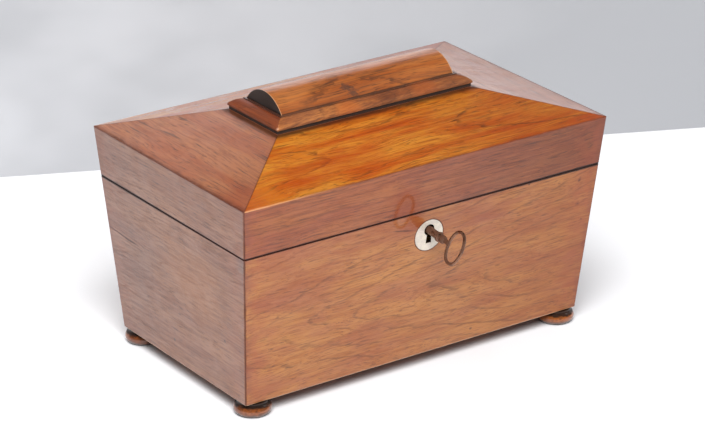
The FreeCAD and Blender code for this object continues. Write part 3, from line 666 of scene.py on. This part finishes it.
def moulded(name, along, tones, seed, axis, spots=(), polish=usual_polish, **style):
    """Small piece without joint lines."""
    material, place = start(name)
    wood, streak, bare = figure(place, along, tones, seed, axis, **style)
    wood, dirt_and_shade = painted_shade(wood, place)
    wood = marked(wood, place, spots)[0]
    return polished(material, place, wood, streak, most(bare, dirt_and_shade), polish)


print("necks at", round(base_z, 1), "mm, groove under the crest at", round(crest_foot_z, 1), "mm")

# %% [markdown]
# The crest is a half-round stick. Its ends are cut across the grain and have gone black, with a pale rim
# where the polish is rubbed through, and there is a knot on its front. A second material on the end faces
# would also make them black, but a mask of the distance from the end gives the rim as well.

# %% Crest
crest_tones = (colour(153, 93, 44), colour(130, 66, 27), colour(101, 61, 37), colour(48, 32, 25))
crest_style = dict(width=4.5, sway=6.0, lines=0.5, veins=0.65, pores=0.6)
crest_axis, crest_polish = (2.0, 132.0, -10.0, 0.08), 0.85
knot, rubbed_rim, end_black = colour(54, 43, 38), colour(190, 146, 110), colour(30, 23, 19)
crest_spots = [
    ((-40.0, -8.0, 147.0), 13.0, 0.15, colour(172, 108, 62)),
    ((-11.5, -11.0, 146.0), 3.0, 0.7, knot),
    ((-9.0, -14.4, 143.2), 3.0, 0.65, knot),
]


def crest_wood():
    """Half-round stick with black ends and a pale rim toward the front."""
    material, place = start("rosewood_crest")
    wood, streak, bare = figure(place, "X", crest_tones, 13.0, crest_axis, **crest_style)
    wood, pits = marked(wood, place, crest_spots)
    # painted shade in the groove at the crest's foot
    wood = painted_shade(wood, place)[0]
    x, y = split(place)[:2]
    rim = smooth(abs(x), crest_end - 0.5, crest_end - 0.25) * smooth(y, 6.0, -8.0)
    end = smooth(abs(x), crest_end - 0.12, crest_end - 0.04)
    wood = blend(end, blend(rim * 0.75, wood, rubbed_rim), end_black)
    return polished(material, place, wood, streak, most(bare, pits, end), crest_polish)


dress(crest_wood(), "crest")

# %% [markdown]
# The skirt's front is feathered: its grain runs at a slant and it darkens to the right, with pale and dark
# patches and a corner rubbed to bare wood. Its ends are darker and plainer, the feet are dark and round, and
# the inner lids have the colours of the end slopes. They could have a function each, but they differ only in
# values, so one makes all four.

# %% Skirt, feet and inner lids
skirt_tones = (colour(156, 98, 52), colour(122, 67, 36), colour(92, 52, 34), colour(40, 28, 24))
skirt_end_tones = (colour(116, 58, 30), colour(92, 40, 20), colour(70, 34, 22), colour(36, 24, 20))
foot_tones = (colour(140, 76, 30), colour(100, 50, 22), colour(72, 40, 22), colour(32, 24, 20))
skirt_axis, skirt_end_axis = (0.0, 100.0, -90.0, 0.4), (0.0, 100.0, 0.0, 0.2)
foot_axis, inner_axis = (0.0, -30.0, 0.0, 0.1), (20.0, 40.0, 0.0, 0.1)
feathered = dict(width=5.0, sway=6.0, lines=0.35, veins=0.5, pores=0.35, streaks=1.2, slant=10.0, dusk=0.55)
plain = dict(width=5.0, sway=6.0, lines=0.25, veins=0.4, pores=0.15)
chip = [((-62.0, -23.2, 138.3), 1.8, 0.75, colour(204, 156, 126))]
patches = [
    ((-46.0, -21.0, 138.5), 13.0, 0.35, colour(104, 64, 48)),
    ((-16.0, -21.0, 138.5), 8.0, 0.5, colour(160, 84, 34)),
    ((8.0, -21.0, 139.5), 9.0, 0.5, colour(70, 40, 28)),
    ((31.0, -21.0, 139.0), 9.0, 0.45, colour(144, 72, 30)),
]
skirt_wood = moulded("rosewood_skirt", "X", skirt_tones, 14.0, skirt_axis, chip + patches, **feathered)
skirt_end_wood = moulded("rosewood_skirt_end", "Y", skirt_end_tones, 15.0, skirt_end_axis, chip, **plain)
foot_wood = moulded("rosewood_feet", "X", foot_tones, 16.0, foot_axis, polish=0.8, width=4.0)
inner_wood = moulded("rosewood_inner", "X", slope_tones, 19.0, inner_axis, width=7.0)
dress(skirt_wood, "skirt_front", "skirt_back")
dress(skirt_end_wood, "skirt_left", "skirt_right")
dress(foot_wood, *[name for name in nodes if name.startswith("foot_")])
dress(inner_wood, "tea_lid_left", "tea_lid_right")

# %% [markdown]
# The linings, the divider, the bottom and the board under the plinth are mahogany, a plainer wood with
# an even red-brown colour, short flecks and a rubbed wax finish instead of polish. It could be sawn from
# a log as the rosewood is, but it has no bold lines, so two noises are enough: streaks for the colour and
# dark flecks.


# %% Mahogany
def mahogany():
    """Waxed mahogany with short flecks."""
    material, place = start("mahogany")
    streak = noise(place, (9, 30, 1.4), 21.0, 3.0)
    fleck = smooth(noise(place, (2.0, 2.0, 0.4), 22.0, 1.0), 0.6, 0.7)
    wood = blend(smooth(streak, 0.35, 0.65), colour(140, 78, 46), colour(108, 54, 32))
    surface(
        material,
        {
            "Base Color": blend(fleck * 0.5, wood, colour(60, 30, 20)),
            "Roughness": 0.5 + streak * 0.15,
            "Coat Weight": 0.15,
            "Coat Roughness": 0.3,
            "Normal": bump(streak - fleck, 0.15, 0.1),
        },
    )
    return material


linings = [name for name in nodes if name.startswith("lining_")]
dress(mahogany(), "bottom_board", "crown_board", "divider", *linings)

# %% [markdown]
# The plinth is stained black and polished. A little brown comes through where the polish has worn, and just
# under the skirt it is painted blackest, as the shadow of the skirt. An even black would do from far away,
# but the streaks keep it wood.


# %% Ebonised wood
def ebonised():
    """Black stain with brown streaks, and painted shadow of the skirt at the top."""
    material, place = start("ebonised_wood")
    streak = noise(place, (20, 4, 0.8), 31.0, 3.0)
    # painted shadow of the skirt along the top of the plinth
    skirt_shadow = smooth(split(place)[2], plinth_top_z - 1.3, plinth_top_z - 0.5)
    wood = blend(smooth(streak, 0.5, 0.75) * 0.6, colour(42, 29, 23), colour(70, 48, 38))
    surface(
        material,
        {
            "Base Color": blend(skirt_shadow, wood, colour(16, 11, 9)),
            "Roughness": 0.45 + streak * 0.2,
            "Coat Weight": 0.12,
            "Coat Roughness": 0.2,
        },
    )
    return material


dress(ebonised(), "plinth")

# %% [markdown]
# Mother-of-pearl is a stack of thin clear layers, so its white moves between warm, pink and grey in soft
# patches. The true play of colour depends on the angle and could be made with a thin film, but at this size
# two patchy noises and a coat are enough. The inside of the keyhole is painted dark as shade. Bone is warmer,
# with fine dark lines where the blood vessels ran.


# %% Mother-of-pearl and bone
def pearl():
    """Patchy white shell, with painted shade inside the keyhole."""
    material, place = start("mother_of_pearl")
    patch = smooth(noise(place, (3.2, 3.2, 2.0), 41.0, 2.0, 0.8), 0.35, 0.65)
    tint = smooth(noise(place, (2.2, 2.2, 4.0), 42.0, 2.0), 0.4, 0.65)
    # painted shade inside the keyhole
    keyhole_shade = smooth(depth_inside(*split(place)), 0.12, 0.3)
    shell = blend(patch, colour(192, 182, 165), colour(176, 168, 155))
    shell = blend(tint * 0.4, shell, colour(190, 172, 164))
    surface(
        material,
        {
            "Base Color": blend(keyhole_shade, shell, colour(60, 44, 34)),
            "Roughness": 0.28 + patch * 0.1,
            "Coat Weight": 0.5,
            "Coat Roughness": 0.1,
        },
    )
    return material


def bone():
    """Warm white with fine upright lines."""
    material, place = start("bone")
    line = smooth(noise(place, (0.5, 0.5, 6.0), 43.0, 1.0), 0.6, 0.72)
    shade = smooth(noise(place, (4, 4, 4), 44.0), 0.4, 0.65)
    tone = blend(shade, colour(218, 202, 166), colour(200, 178, 138))
    tone = blend(line * 0.5, tone, colour(150, 120, 84))
    surface(material, {"Base Color": tone, "Roughness": 0.35, "Coat Weight": 0.3})
    return material


dress(pearl(), "escutcheon")
dress(bone(), "tea_knob_left", "tea_knob_right")

# %% [markdown]
# The metals are old. The key is steel that has gone brown in the hand, rubbed a little brighter in spots.
# The lock and the hinges are brass with a dull skin, their pins and screws are plain steel, and the
# compartments are lined with a grey foil that has been pressed in by hand and is full of small dents. Each
# could have a function of its own, but they differ only in colour, in the size and strength of the dull
# skin, and in how rough and dented they are, so one makes all four.


# %% Metals
def metal(name, bright, dull, seed, roughness, lump=2.5, dents=0.1, patina=0.25):
    """Metal whose bare colour shows through a dull skin in soft spots."""
    material, place = start(name)
    skin = smooth(noise(place, (lump, lump, lump), seed, 3.0), 0.36, 0.62)
    scratch = noise(place, (6.0, 0.5, 0.5), seed + 1, 2.0)
    surface(
        material,
        {
            "Base Color": blend(skin, bright, dull),
            "Metallic": 1 - skin * patina,
            "Roughness": roughness + skin * 0.2 + scratch * 0.1,
            "Normal": bump(scratch + skin * 0.5, dents, 0.2),
        },
    )
    return material


key_steel = metal("key_steel", colour(134, 98, 78), colour(86, 57, 43), 51.0, 0.36, patina=0.8)
brass = metal("brass", colour(196, 158, 92), colour(140, 104, 52), 53.0, 0.25, lump=4.0)
steel = metal("steel", colour(150, 146, 140), colour(104, 98, 92), 55.0, 0.3)
foil = metal("foil", colour(168, 168, 166), colour(128, 128, 126), 57.0, 0.38, lump=5.0, dents=0.5)
brass_starts = ("hinge_leaf", "lock_plate", "lock_cap", "lock_bolt", "link_plate")
steel_starts = ("hinge_pin", "hinge_screws", "lock_pin", "lock_screws", "link_screws")
dress(key_steel, "key")
dress(brass, *[name for name in nodes if name.startswith(brass_starts)])
dress(steel, *[name for name in nodes if name.startswith(steel_starts)])
dress(foil, "tea_liner_left", "tea_liner_right")

# %% [markdown]
# The lid is lined with velvet over a thin board. As a solid it is a flat panel; the real one is soft, so its
# face is crowned and its edges roll back to the wood. A cloth simulation could swell it, but the pad is thin
# and stretched tight, so a formula is enough. It is made as a grid: both faces are heights over the same
# outline, with finer steps toward the edges, and they meet at the rim, where they are sewn together.


# %% Shape of the velvet panel
def velvet_panel(steps_x=121, steps_y=81, taper=0.9955):
    """Closed pad in the space of the panel, over an outline with s and t from -1 to 1.

    Its upper face is flat, and its lower face hangs below it by
    thickness * (1 - s^8)^(1/2) * (1 - t^8)^(1/2) * (0.8 + 0.2 * (1 - s^2) * (1 - t^2)).
    """
    low, high = (np.array(corner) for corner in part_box("lid_lining"))
    middle, half = (low + high) / 2, (high - low) / 2
    steps = [np.sin(np.linspace(-1, 1, count) * math.pi / 2) for count in (steps_x, steps_y)]
    s, t = np.meshgrid(*steps, indexing="ij")
    rim = np.sqrt((1 - np.abs(s) ** 8) * (1 - np.abs(t) ** 8))
    crown = 0.8 + 0.2 * (1 - s**2) * (1 - t**2)
    x, y = middle[0] + s * half[0] * taper, middle[1] + t * half[1] * taper
    upper = np.stack([x, y, np.full_like(x, high[2])], axis=-1)
    lower = np.stack([x, y, high[2] - 2 * half[2] * rim * crown], axis=-1)
    points = np.concatenate([upper.reshape(-1, 3), lower.reshape(-1, 3)])
    index = np.arange(s.size).reshape(s.shape)
    quads = np.stack([index[:-1, :-1], index[1:, :-1], index[1:, 1:], index[:-1, 1:]], axis=-1)
    quads = quads.reshape(-1, 4)
    faces = np.concatenate([quads, quads[:, ::-1] + s.size])
    mesh = bpy.data.meshes.new("velvet_panel")
    mesh.from_pydata(points.tolist(), [], faces.tolist())
    return mesh


def sew(mesh):
    """Joins the two faces at the rim, turns all faces outwards and shades them smoothly."""
    sewn = bmesh.new()
    sewn.from_mesh(mesh)
    bmesh.ops.remove_doubles(sewn, verts=sewn.verts, dist=1e-6)
    bmesh.ops.recalc_face_normals(sewn, faces=sewn.faces)
    sewn.to_mesh(mesh)
    sewn.free()
    mesh.polygons.foreach_set("use_smooth", np.ones(len(mesh.polygons), dtype=bool))


panel = bpy.data.objects.new("velvet_panel", velvet_panel())
bpy.context.collection.objects.link(panel)
sew(panel.data)
print("velvet panel:", len(panel.data.vertices), "points")

# %% [markdown]
# Velvet is a short, dense pile. Hairs could be grown on the panel, but from a step away only two things show:
# a soft sheen toward the edges of a form, and patches where the pile lies another way. The panel then takes
# the place of the flat solid and rides with the lid.


# %% Velvet
def velvet():
    """Dark red pile that lies a little differently from place to place."""
    material, place = start("velvet")
    lay = smooth(noise(place, (14, 14, 14), 61.0, 3.0), 0.3, 0.7)
    pile = noise(place, (0.35, 0.35, 0.35), 62.0, 1.0)
    surface(
        material,
        {
            "Base Color": blend(lay, colour(104, 22, 33), colour(90, 17, 28)),
            "Roughness": 0.85 + pile * 0.1,
            "Sheen Weight": 0.6,
            "Sheen Roughness": 0.4,
            "Normal": bump(pile, 0.5, 0.3),
        },
    )
    return material


panel.data.materials.append(velvet())
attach(panel, "lid")
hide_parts("lid_lining")
print("velvet on", panel.name)

# %% [markdown]
# The caddy stands on a plain white table before a plain grey backdrop. Polished wood is a mirror, so what
# stands round it is half of its colour: the table washes the sides pink, the backdrop turns the far slopes
# pale, and above there is nothing bright, so the near slope shows its orange. What the eye sees directly and
# what the polish mirrors can be set apart with the Light Path node: the table is darker where it is seen
# directly, and only the mirrored backdrop has a painted band of light to the right and a top painted black as
# shade. From behind, the backdrop can be seen through.


# %% Finishes of the stage
def light_path(wire, question):
    """Mask of the rays for which the answer is yes."""
    return wire.node("ShaderNodeLightPath", {}, {}, question)


def table_white():
    """White with soft, wide shades, darker where it is seen directly."""
    material, place = start("table_white")
    shade = noise(place, (60, 200, 60), 71.0, 3.0)
    white = blend(shade, colour(246, 246, 248), colour(236, 237, 241))
    shown = blend(light_path(place, "Is Camera Ray"), white, colour(214, 214, 216))
    surface(material, {"Base Color": shown, "Roughness": 0.9})
    return material


def backdrop_grey():
    """Grey in soft, wide painted shades that darken to the right, with a painted band of light and a top
    painted black as shade in mirror images.
    """
    material, place = start("backdrop_grey")
    x, _, z = split(place)
    # soft, wide painted shades, and below them more painted shade to the right
    shade = smooth(noise(place, (160, 160, 90), 72.0, 3.0), 0.35, 0.65)
    grey = blend(shade, colour(177, 178, 181), colour(162, 163, 166))
    grey = blend(smooth(x, 0.0, 400.0), grey, colour(150, 151, 154))
    # painted band of light, seen only in mirror images
    band = smooth(z, 110.0, 160.0) * smooth(x, -60.0, 60.0)
    mirrored = blend(band, grey, colour(220, 220, 223))
    # top painted black as shade, seen only in mirror images
    mirrored = blend(smooth(z, 280.0, 392.0), mirrored, colour(24, 24, 26))
    shown = blend(light_path(place, "Is Camera Ray"), mirrored, grey)
    surface(material, {"Base Color": shown, "Roughness": 0.95})

    tree = material.node_tree
    front = Wire(tree, tree.nodes["Principled BSDF"].outputs[0])
    behind = place.node("ShaderNodeNewGeometry", {}, {}, "Backfacing")
    clear = place.node("ShaderNodeBsdfTransparent", {}, {})
    both = place.node("ShaderNodeMixShader", {}, {0: behind, 1: front, 2: clear})
    fill(tree, tree.nodes["Material Output"], {"Surface": both})
    return material


table_finish, backdrop_finish = table_white(), backdrop_grey()
print("finishes of the stage:", table_finish.name, "and", backdrop_finish.name)

# %% [markdown]
# Both pieces of the stage are flat sheets. The backdrop could bend up from the table as it does in a studio,
# but the polish would mirror the bend. It stands across the view, a little turned, and it neither casts
# a shadow nor throws light back, so it changes only what is seen and mirrored.


# %% Table and backdrop
def stage_sheet(name, points, material):
    """Flat four-sided piece of the stage."""
    mesh = bpy.data.meshes.new(name)
    mesh.from_pydata(points, [], [(0, 1, 2, 3)])
    mesh.materials.append(material)
    piece = bpy.data.objects.new(name, mesh)
    bpy.context.collection.objects.link(piece)
    return piece


reach = 6.0  # of the table to each side, in metres
corners = [(-reach, -reach, 0), (reach, -reach, 0), (reach, reach, 0), (-reach, reach, 0)]
stage_sheet("table", corners, table_finish)

bearing = 35.04  # of the camera, in degrees to the left of the front
left_depth, right_depth, half_span, backdrop_height = 0.04, 0.50, 1.2, 0.4  # in metres
turn = math.radians(bearing)
ahead = np.array([math.sin(turn), math.cos(turn), 0.0])
aside = np.array([math.cos(turn), -math.sin(turn), 0.0])
left = left_depth * ahead - half_span * aside
right = right_depth * ahead + half_span * aside
tall = np.array([0.0, 0.0, backdrop_height])
corners = [tuple(point) for point in (left, right, right + tall, left + tall)]
backdrop = stage_sheet("backdrop", corners, backdrop_finish)
backdrop.visible_shadow = False
backdrop.visible_diffuse = False
print("backdrop", round(float(np.linalg.norm(right - left)), 2), "m wide")

# %% [markdown]
# A large soft lamp stands over the camera, so the shadow falls behind the caddy, and a weak one lights its
# back. Both are left out of mirror images, so the polish shows the table and the backdrop and not a white
# square. The third is a small window to the right, which the polish does mirror as a glint. An even light
# comes from all round: mirror images see almost none of it, as in a dim room, and the eye sees more. A sky
# picture could light the caddy too, but lamps are easier to set one by one.


# %% Light
def lamp(name, place, target, size, power, mirrored=False):
    """Square soft lamp at a place, turned to a target, in metres and watts."""
    data = bpy.data.lights.new(name, "AREA")
    data.shape = "SQUARE"
    data.size = size
    data.energy = power
    made = bpy.data.objects.new(name, data)
    bpy.context.collection.objects.link(made)
    made.location = place
    back = np.subtract(place, target)
    lean = math.atan2(math.hypot(back[0], back[1]), back[2])
    made.rotation_euler = (lean, 0, math.atan2(back[0], -back[1]))
    made.visible_glossy = mirrored


lamp("main_lamp", (-1.18, -1.68, 2.75), (0, 0, 0.1), 2.2, 210.0)
lamp("back_lamp", (-0.7, 1.5, 2.4), (0, 0, 0.1), 1.8, 25.0)
lamp("window", (1.72, -0.72, 1.66), (0, 0, 0), 0.45, 6.0, mirrored=True)

world = bpy.data.worlds.new("room")
world.use_nodes = True
bpy.context.scene.world = world
room = Wire(world.node_tree)
all_round, more_seen, less_mirrored = 0.27, 0.4, 0.26
seen = light_path(room, "Is Camera Ray")
mirrored = light_path(room, "Is Glossy Ray")
sky = {"Strength": all_round + seen * more_seen - mirrored * less_mirrored, "Color": (0.95, 0.97, 1.0, 1.0)}
fill(world.node_tree, world.node_tree.nodes["Background"], sky)
bpy.context.scene.view_settings.view_transform = "Standard"

# %% [markdown]
# The camera stands where the photograph was taken from: about 1.7 m away, to the left of the front and above,
# with a long lens. Its place could be set by eye, but it was fitted to the corners of the case, so that the
# edges run as they do in the photograph.

# %% Camera
camera = bpy.data.objects.new("camera", bpy.data.cameras.new("camera"))
bpy.context.collection.objects.link(camera)
tilt = 67.1364  # in degrees, up from straight down
camera.location = (-0.90298, -1.27697, 0.72923)
camera.rotation_euler = (math.radians(tilt), 0, math.radians(-bearing))
camera.data.lens = 163.32
camera.data.sensor_width = 36.0
bpy.context.scene.camera = camera
print("camera", round(camera.location.length, 2), "m from the origin")

# %% [markdown]
